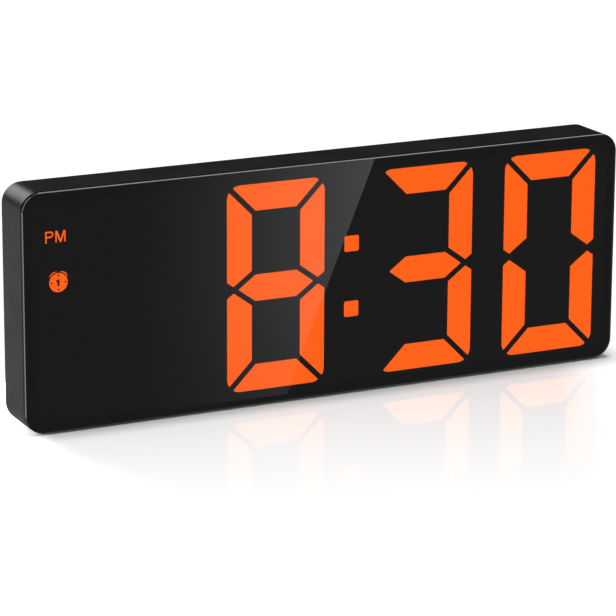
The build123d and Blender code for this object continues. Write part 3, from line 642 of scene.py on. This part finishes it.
@dataclass
class Face(SubAssembly):
    """Panel with its polished edge, its adhesive ring and the mask with the segments' windows."""

    looks: dict[str, Look] = field(
        default_factory=lambda: {
            "front_panel": Look.PANEL,
            "panel_tape": Look.TAPE,
            "mask_film": Look.MASK,
        }
    )
    corner_radius: float = 5.0 * MM
    corner_steps: int = 16
    edge_cut: float = 0.19 * MM
    edge_thickness: float = 0.04 * MM

    def build(self) -> None:
        """Lays a thin ring over the panel's chamfer, for the polish of its cut edge."""
        low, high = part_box("front_panel")
        shape = bmesh.new()
        places = [(low.x, low.z), (high.x, low.z), (high.x, high.z), (low.x, high.z)]
        corners = [shape.verts.new((x, low.y + self.edge_cut, z)) for x, z in places]
        shape.faces.new(corners)
        bmesh.ops.bevel(
            shape, geom=corners, offset=self.corner_radius, affect="VERTICES",
            segments=self.corner_steps, profile=0.5, material=-1,
        )
        front = shape.faces[:]
        bmesh.ops.inset_region(shape, faces=front, thickness=self.edge_cut, use_boundary=True)
        for vert in front[0].verts:
            vert.co.y = low.y
        bmesh.ops.delete(shape, geom=front, context="FACES")
        bmesh.ops.solidify(shape, geom=shape.faces[:], thickness=self.edge_thickness)
        bmesh.ops.recalc_face_normals(shape, faces=shape.faces[:])
        self.add("panel_edge", shape, Look.EDGE, "case", "smoked_acrylic")


@dataclass
class Display(SubAssembly):
    """White frame of light wells, with its lit diffusers and its unlit ones, which are given a near-black
    painted shade.
    """

    lit: tuple[str, ...] = (
        "hour_diffusers",
        "minute_tens_diffusers",
        "minute_diffusers",
        "colon_diffusers",
        "pm_diffuser",
        "alarm_diffuser",
    )
    unlit: tuple[str, ...] = ("hour_tens_diffusers", "minute_tens_dark_diffusers", "minute_dark_diffuser")

    def __post_init__(self) -> None:
        """Lists the looks by whether a diffuser is lit; the unlit ones get a near-black painted shade."""
        self.looks = {name: Look.LIT for name in self.lit}
        self.looks |= {name: Look.DARK for name in self.unlit}
        self.looks["reflector_frame"] = Look.REFLECTOR


@dataclass
class Case(SubAssembly):
    """Housing, rear cover, screws and feet."""

    looks: dict[str, Look] = field(
        default_factory=lambda: {
            "housing": Look.CASE,
            "rear_cover": Look.COVER,
            "case_screws": Look.CASE_SCREW,
            "foot_pads": Look.FOOT,
        }
    )


@dataclass
class Electronics(SubAssembly):
    """Circuit board and everything soldered or screwed to it, with the socket's contact strips."""

    looks: dict[str, Look] = field(
        default_factory=lambda: {
            "display_board": Look.BOARD,
            "segment_leds": Look.LED,
            "clock_chip": Look.CHIP,
            "driver_chip": Look.CHIP,
            "board_resistors": Look.RESISTOR,
            "crystal": Look.CRYSTAL,
            "buzzer": Look.BUZZER,
            "switch_bodies": Look.SWITCH,
            "usb_shell": Look.SOCKET,
            "usb_tongue": Look.TONGUE,
            "board_screws": Look.BOARD_SCREW,
        }
    )
    strip_count: int = 12
    strip_pitch: float = 0.5 * MM
    strip_width: float = 0.26 * MM
    strip_length: float = 2.4 * MM
    strip_thickness: float = 0.06 * MM
    tongue_thickness: float = 0.7 * MM
    tongue_margin: float = 0.35 * MM

    def build(self) -> None:
        """Lays a row of gold strips on each side of the socket's tongue."""
        low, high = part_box("usb_tongue")
        middle = (low + high) / 2
        size = (self.strip_width, self.strip_length, self.strip_thickness)
        shape = bmesh.new()
        for side in (-1, 1):
            for place in range(self.strip_count):
                strip = bmesh.ops.create_cube(shape, size=1.0)["verts"]
                bmesh.ops.scale(shape, verts=strip, vec=size)
                center = (
                    middle.x + (place - (self.strip_count - 1) / 2) * self.strip_pitch,
                    high.y - self.tongue_margin - self.strip_length / 2,
                    middle.z + side * self.tongue_thickness / 2,
                )
                bmesh.ops.translate(shape, verts=strip, vec=center)
        self.add("usb_contacts", shape, Look.GOLD, "case", "contact_metal")


@dataclass
class Keys(SubAssembly):
    """Four push buttons with the plungers under them, and a raised mark on the cover above each."""

    names: tuple[str, ...] = ("set", "up", "down", "alarm")
    mark_rise: float = 5.9 * MM
    mark_height: float = 0.1 * MM
    mark_sink: float = 0.02 * MM
    mark_line: float = 0.32 * MM
    dial_radius: float = 1.55 * MM
    dial_sides: int = 40
    long_hand: float = 0.95 * MM
    short_hand: float = 0.72 * MM
    arrow_radius: float = 1.6 * MM
    arrow_ease: float = 0.25 * MM
    arrow_ease_steps: int = 4
    bell_half: float = 0.95 * MM
    bell_flare: float = 0.45 * MM
    bell_height: float = 2.1 * MM
    crown_radius: float = 0.931 * MM
    crown_steps: int = 8
    clapper_radius: float = 0.34 * MM
    clapper_drop: float = 0.476 * MM
    clapper_sides: int = 20

    def __post_init__(self) -> None:
        """Lists the looks of every button and plunger."""
        self.looks = {f"{name}_button": Look.BUTTON for name in self.names}
        self.looks |= {f"{name}_plunger": Look.PLUNGER for name in self.names}

    def dial(self, shape: bmesh.types.BMesh) -> None:
        """Draws a ring with two hands, for setting the time.

        Args:
            shape: the empty bmesh that takes the sign
        """
        bmesh.ops.create_circle(shape, cap_ends=True, segments=self.dial_sides, radius=self.dial_radius)
        disc = shape.faces[:]
        bmesh.ops.inset_region(shape, faces=disc, thickness=self.mark_line, use_boundary=True)
        bmesh.ops.delete(shape, geom=disc, context="FACES")
        half = self.mark_line / 2
        hands = [
            (-half, -half),
            (self.short_hand, -half),
            (self.short_hand, half),
            (half, half),
            (half, self.long_hand),
            (-half, self.long_hand),
        ]
        outline(shape, hands)

    def arrow(self, shape: bmesh.types.BMesh, turn: float) -> None:
        """Draws a triangle with eased corners.

        Args:
            shape: the empty bmesh that takes the sign
            turn: how far it is turned from pointing up
        """
        bmesh.ops.create_circle(shape, cap_ends=True, segments=3, radius=self.arrow_radius)
        bmesh.ops.rotate(shape, verts=shape.verts[:], matrix=Matrix.Rotation(turn, 3, "Z"))
        bmesh.ops.bevel(
            shape, geom=shape.verts[:], offset=self.arrow_ease, affect="VERTICES",
            segments=self.arrow_ease_steps, profile=0.5, material=-1,
        )

    def bell(self, shape: bmesh.types.BMesh) -> None:
        """Draws a bell with a flared rim and its clapper below.

        Args:
            shape: the empty bmesh that takes the sign
        """
        half = self.bell_half
        flare = self.bell_flare
        top = self.bell_height / 2
        corners = [
            (-half - flare, -top),
            (half + flare, -top),
            (half, -top + flare),
            (half, top),
            (-half, top),
            (-half, -top + flare),
        ]
        sides = outline(shape, corners)
        crown = [vert for vert in sides.verts if vert.co.y > 0]
        bmesh.ops.bevel(
            shape, geom=crown, offset=self.crown_radius, affect="VERTICES",
            segments=self.crown_steps, profile=0.5, material=-1,
        )
        clapper = bmesh.ops.create_circle(
            shape, cap_ends=True, segments=self.clapper_sides, radius=self.clapper_radius
        )
        bmesh.ops.translate(shape, verts=clapper["verts"], vec=(0.0, -top - self.clapper_drop, 0.0))

    def build(self) -> None:
        """Stands one mark on the cover above each button, upright as seen from behind."""
        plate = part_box("housing")[1].y
        upright = Matrix(((-1, 0, 0), (0, 0, 1), (0, 1, 0))).to_4x4()
        signs = {
            "set": self.dial,
            "up": lambda shape: self.arrow(shape, 0.0),
            "down": lambda shape: self.arrow(shape, math.pi),
            "alarm": self.bell,
        }
        for name, draw in signs.items():
            low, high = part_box(f"{name}_button")
            middle = (low + high) / 2
            shape = bmesh.new()
            draw(shape)
            extrude_up(shape, self.mark_height + self.mark_sink)
            place = Matrix.Translation((middle.x, plate - self.mark_sink, middle.z + self.mark_rise))
            bmesh.ops.transform(shape, verts=shape.verts[:], matrix=place @ upright)
            self.add(f"{name}_mark", shape, Look.MARK, "case", "cover_plastic")


@dataclass
class BatteryBox(SubAssembly):
    """Door, cells, springs and contacts."""

    looks: dict[str, Look] = field(
        default_factory=lambda: {
            "battery_door": Look.DOOR,
            "battery_cells": Look.CELL,
            "battery_springs": Look.SPRING,
            "contact_plates": Look.CONTACT,
        }
    )


class Seen(Enum):
    """Which rays meet a thing on the stage."""

    BY_CAMERA = ("camera",)
    BY_GLOSS = ("glossy",)
    BY_CAMERA_AND_LIGHT = ("camera", "diffuse", "shadow")


RAYS = ("camera", "diffuse", "glossy", "transmission", "volume_scatter", "shadow")


@dataclass(frozen=True)
class Lamp:
    """A square soft light.

    Attributes:
        name: its name
        place: where it stands
        target: what it faces
        size: length of a side
        power: watts
        lights: the pieces that it is kept to, or none for all of them
    """

    name: str
    place: Point
    target: Point
    size: float
    power: float
    lights: tuple[str, ...] = ()

    def hang(self) -> bpy.types.Object:
        """Makes the light.

        Returns:
            its object
        """
        light = bpy.data.lights.new(self.name, "AREA")
        light.shape = "SQUARE"
        light.size = self.size
        light.energy = self.power
        obj = bpy.data.objects.new(self.name, light)
        obj.location = self.place
        aim = Vector(self.target) - Vector(self.place)
        obj.rotation_euler = aim.to_track_quat("-Z", "Y").to_euler()
        bpy.context.scene.collection.objects.link(obj)
        return obj


BACK_PIECES = (
    "rear_cover",
    "battery_door",
    "set_button",
    "up_button",
    "down_button",
    "alarm_button",
    "set_mark",
    "up_mark",
    "down_mark",
    "alarm_mark",
    "case_screws",
    "usb_shell",
    "usb_tongue",
    "usb_contacts",
    "battery_cells",
    "battery_springs",
    "contact_plates",
)


@dataclass
class Studio:
    """Pale floor, soft lights, reflection cards and the camera."""

    camera_place: Point = (-0.354918, -0.717246, 0.239602)
    turn: float = math.radians(26.263)
    tilt: float = math.radians(15.329)
    roll: float = math.radians(0.268)
    lens: float = 191.26
    sensor: float = 36.0
    stage_radius: float = 5.0
    stage_sides: int = 96
    dome_sides: int = 48
    dome_rings: int = 24
    floor_color: Rgb = grey(0.92)
    floor_blur: float = 0.035
    floor_ior: float = 1.75
    floor_tint: Rgb = (0.95, 2.1, 1.0)
    gloss_near: Span = (-128 * MM, 0.0)
    gloss_left: Span = (-69 * MM, -57 * MM)
    gloss_right: Span = (61 * MM, 78 * MM)
    gloss_behind: Span = (0.0, 12 * MM)
    wall_radius: float = 1.6
    wall_height: float = 2.6
    ambience: float = 0.25
    overhead_from: Point = (-0.03, 0.05, 1.5)
    overhead_spread: float = math.radians(11.5)
    overhead_strength: float = 2.25
    card_depth: float = -0.5
    band_top: Span = (11.9 * MM, 60.1 * MM)
    band_foot: Span = (-12.3 * MM, 2.1 * MM)
    band_width: float = 71 * MM
    band_glow: float = 1.2
    band_fade: float = 1.75
    band_low: float = 0.65
    lamps: tuple[Lamp, ...] = (
        Lamp("softbox", (0.3, -0.6, 1.5), (0.0, -0.1, 0.0), 2.2, 10.0),
        Lamp("corner_light", (-0.24, 0.8, 0.44), (-0.08, 0.0, 0.055), 0.5, 2.0, ("housing",)),
        Lamp("side_light", (-0.36, 0.72, -0.18), (-0.082, 0.0, 0.03), 0.6, 0.2, ("housing",)),
        Lamp("left_edge_light", (-0.7, -0.34, -0.18), (-0.08, 0.0, 0.03), 0.3, 1.4, ("panel_edge",)),
        Lamp("corner_edge_light", (-0.74, -0.42, 0.48), (-0.08, 0.0, 0.058), 1.0, 10.0, ("panel_edge",)),
        Lamp("top_edge_light", (0.45, -0.28, 1.0), (0.0, 0.0, 0.06), 0.6, 5.5, ("panel_edge",)),
        Lamp("back_light", (0.6, 1.1, 1.0), (0.0, 0.0, 0.03), 0.9, 26.0, BACK_PIECES),
        Lamp("foot_light", (-0.091, 0.034, 0.006), (-0.081, -0.006, 0.0), 0.016, 0.13, ("floor",)),
    )

    def stand(self, name: str, shape: bmesh.types.BMesh, surface: Surface, seen: Seen) -> bpy.types.Object:
        """Puts a thing on the stage.

        Args:
            name: its name
            shape: its bmesh, which is used up
            surface: its material
            seen: the rays that meet it

        Returns:
            its object
        """
        obj = to_object(name, shape)
        obj.data.materials.append(surface.material)
        for kind in RAYS:
            setattr(obj, f"visible_{kind}", kind in seen.value)
        return obj

    def lights_only(self, lamp: bpy.types.Object, receivers: Iterable[bpy.types.Object]) -> None:
        """Keeps a lamp or a glowing card to what it should light.

        Args:
            lamp: the lamp or card
            receivers: the pieces that it lights
        """
        group = bpy.data.collections.new(f"lit_by_{lamp.name}")
        for obj in receivers:
            group.objects.link(obj)
        lamp.light_linking.receiver_collection = group

    def glow(self, name: str, strength: float) -> Surface:
        """A glowing material without other surface.

        Args:
            name: its name
            strength: its glow, where 1 is paper white

        Returns:
            the material, whose shader node is the glow
        """
        surface = Surface(name)
        surface.nodes.remove(surface.shader)
        surface.shader = surface.nodes.new("ShaderNodeEmission")
        surface.feed(surface.shader.inputs["Strength"], strength)
        surface.feed(surface.output.inputs["Surface"], surface.shader.outputs[0])
        surface.material.cycles.emission_sampling = "NONE"
        return surface

    def gloss_share(self, surface: Surface) -> Socket:
        """How much the floor mirrors: less towards the camera and the picture's sides, not behind the clock.

        Args:
            surface: the floor's material

        Returns:
            the mirror's share, from 0 to 1
        """
        x, y, _ = surface.axes()
        away = surface.math("MULTIPLY", y, math.cos(self.turn))
        away = surface.math("MULTIPLY_ADD", x, math.sin(self.turn), away)
        aside = surface.math("MULTIPLY", y, -math.sin(self.turn))
        aside = surface.math("MULTIPLY_ADD", x, math.cos(self.turn), aside)
        fresnel = surface.nodes.new("ShaderNodeFresnel")
        surface.feed(fresnel.inputs["IOR"], self.floor_ior)
        share = fresnel.outputs[0]
        fades = (
            surface.ramp(away, *self.gloss_near, 0.0, 1.0),
            surface.remap(aside, *self.gloss_left, 0.0, 1.0),
            surface.remap(aside, *self.gloss_right, 1.0, 0.0),
            surface.remap(y, *self.gloss_behind, 1.0, 0.0),
        )
        for fade in fades:
            share = surface.math("MULTIPLY", share, fade)
        return share

    def floor(self) -> bpy.types.Object:
        """Lays the pale floor, which mirrors the clock softly.

        Returns:
            its object
        """
        shape = bmesh.new()
        bmesh.ops.create_circle(shape, cap_ends=True, segments=self.stage_sides, radius=self.stage_radius)
        surface = Surface("floor")
        surface.nodes.remove(surface.shader)
        matt = surface.nodes.new("ShaderNodeBsdfDiffuse")
        surface.feed(matt.inputs["Color"], self.floor_color)
        mirror = surface.nodes.new("ShaderNodeBsdfGlossy")
        surface.feed(mirror.inputs["Color"], self.floor_tint)
        surface.feed(mirror.inputs["Roughness"], self.floor_blur)
        mix = surface.nodes.new("ShaderNodeMixShader")
        surface.feed(mix.inputs[0], self.gloss_share(surface))
        surface.feed(mix.inputs[1], matt.outputs[0])
        surface.feed(mix.inputs[2], mirror.outputs[0])
        surface.feed(surface.output.inputs["Surface"], mix.outputs[0])
        return self.stand("floor", shape, surface, Seen.BY_CAMERA_AND_LIGHT)

    def backdrop(self) -> bpy.types.Object:
        """Puts up a white dome that only the camera sees.

        Returns:
            its object
        """
        shape = bmesh.new()
        bmesh.ops.create_uvsphere(
            shape, u_segments=self.dome_sides, v_segments=self.dome_rings, radius=self.stage_radius
        )
        return self.stand("backdrop", shape, self.glow("backdrop", 1.0), Seen.BY_CAMERA)

    def wall(self) -> bpy.types.Object:
        """Puts up a round wall that only the floor mirrors, in the colour that its tint turns to white.

        Returns:
            its object
        """
        shape = bmesh.new()
        bmesh.ops.create_circle(shape, segments=self.stage_sides, radius=self.wall_radius)
        rise = bmesh.ops.extrude_edge_only(shape, edges=shape.edges[:])
        raised = [item for item in rise["geom"] if isinstance(item, bmesh.types.BMVert)]
        bmesh.ops.translate(shape, verts=raised, vec=(0.0, 0.0, self.wall_height))
        surface = self.glow("wall", 1.0)
        surface.feed(surface.shader.inputs["Color"], tuple(1.0 / share for share in self.floor_tint))
        return self.stand("wall", shape, surface, Seen.BY_GLOSS)

    def band(self) -> bpy.types.Object:
        """Puts up the card whose slanted edge and fading glow the panel mirrors.

        Returns:
            its object
        """
        low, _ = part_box("front_panel")
        eye = Vector(self.camera_place)
        eye.y = 2 * low.y - eye.y

        def mirrored(x: float, z: float) -> Vector:
            """Where a point of the panel's mirror image meets the card."""
            point = Vector((x, low.y, z))
            return eye + (point - eye) * ((self.card_depth - eye.y) / (low.y - eye.y))

        left = self.band_top[0] - self.band_width
        top_right = mirrored(*self.band_top)
        foot_right = mirrored(*self.band_foot)
        foot_left = mirrored(left, self.band_foot[1])
        top_left = mirrored(left, self.band_top[1])
        shape = bmesh.new()
        corners = (top_right, foot_right, foot_left, top_left)
        shape.faces.new([shape.verts.new(corner) for corner in corners])
        surface = self.glow("band", 1.0)
        x, _, z = surface.axes()
        along = surface.ramp(x, top_left.x, top_right.x, 0.0, 1.0)
        rise = surface.remap(z, foot_right.z, (top_right.z + foot_right.z) / 2, self.band_low, 1.0)
        fade = surface.math("MULTIPLY", surface.math("POWER", along, self.band_fade), rise)
        glow = surface.math("MULTIPLY_ADD", fade, self.band_glow, self.ambience)
        surface.feed(surface.shader.inputs["Strength"], glow)
        return self.stand("band", shape, surface, Seen.BY_GLOSS)

    def overhead(self) -> bpy.types.Object:
        """Hangs the light from straight above, whose shadows hug the clock.

        Returns:
            its object
        """
        light = bpy.data.lights.new("overhead", "SUN")
        light.angle = self.overhead_spread
        light.energy = self.overhead_strength
        obj = bpy.data.objects.new("overhead", light)
        obj.rotation_euler = (-Vector(self.overhead_from)).to_track_quat("-Z", "Y").to_euler()
        bpy.context.scene.collection.objects.link(obj)
        return obj

    def world(self) -> None:
        """Adds even dim light from all round."""
        world = bpy.data.worlds.new("studio")
        world.use_nodes = True
        sky = world.node_tree.nodes["Background"]
        sky.inputs["Color"].default_value = (1.0, 1.0, 1.0, 1.0)
        sky.inputs["Strength"].default_value = self.ambience
        bpy.context.scene.world = world

    def camera(self) -> bpy.types.Object:
        """Sets up the photograph's viewing angle.

        Returns:
            the camera
        """
        data = bpy.data.cameras.new("camera")
        data.lens = self.lens
        data.sensor_width = self.sensor
        obj = bpy.data.objects.new("camera", data)
        turn = Matrix.Rotation(-self.turn, 4, "Z")
        tilt = Matrix.Rotation(math.pi / 2 - self.tilt, 4, "X")
        roll = Matrix.Rotation(self.roll, 4, "Z")
        obj.matrix_world = Matrix.Translation(self.camera_place) @ turn @ tilt @ roll
        bpy.context.scene.collection.objects.link(obj)
        bpy.context.scene.camera = obj
        return obj

    def build(self) -> None:
        """Sets the stage."""
        bpy.context.scene.view_settings.view_transform = "Standard"
        self.world()
        self.camera()
        self.backdrop()
        self.lights_only(self.wall(), [self.floor()])
        self.lights_only(self.band(), [carried_over("front_panel")])
        self.overhead()
        for lamp in self.lamps:
            light = lamp.hang()
            if lamp.lights:
                self.lights_only(light, [bpy.data.objects[name] for name in lamp.lights])
            LOG.info("hung %s", lamp.name)


def main() -> None:
    """Builds and dresses the clock, then sets the stage."""
    logging.basicConfig(level=logging.INFO, format="%(name)s: %(message)s")
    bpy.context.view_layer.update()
    materials = {look: look.value.make() for look in Look}
    for group in (Face(), Display(), Case(), Electronics(), Keys(), BatteryBox()):
        group.build()
        group.dress(materials)
    Studio().build()


if __name__ == "__main__":
    main()
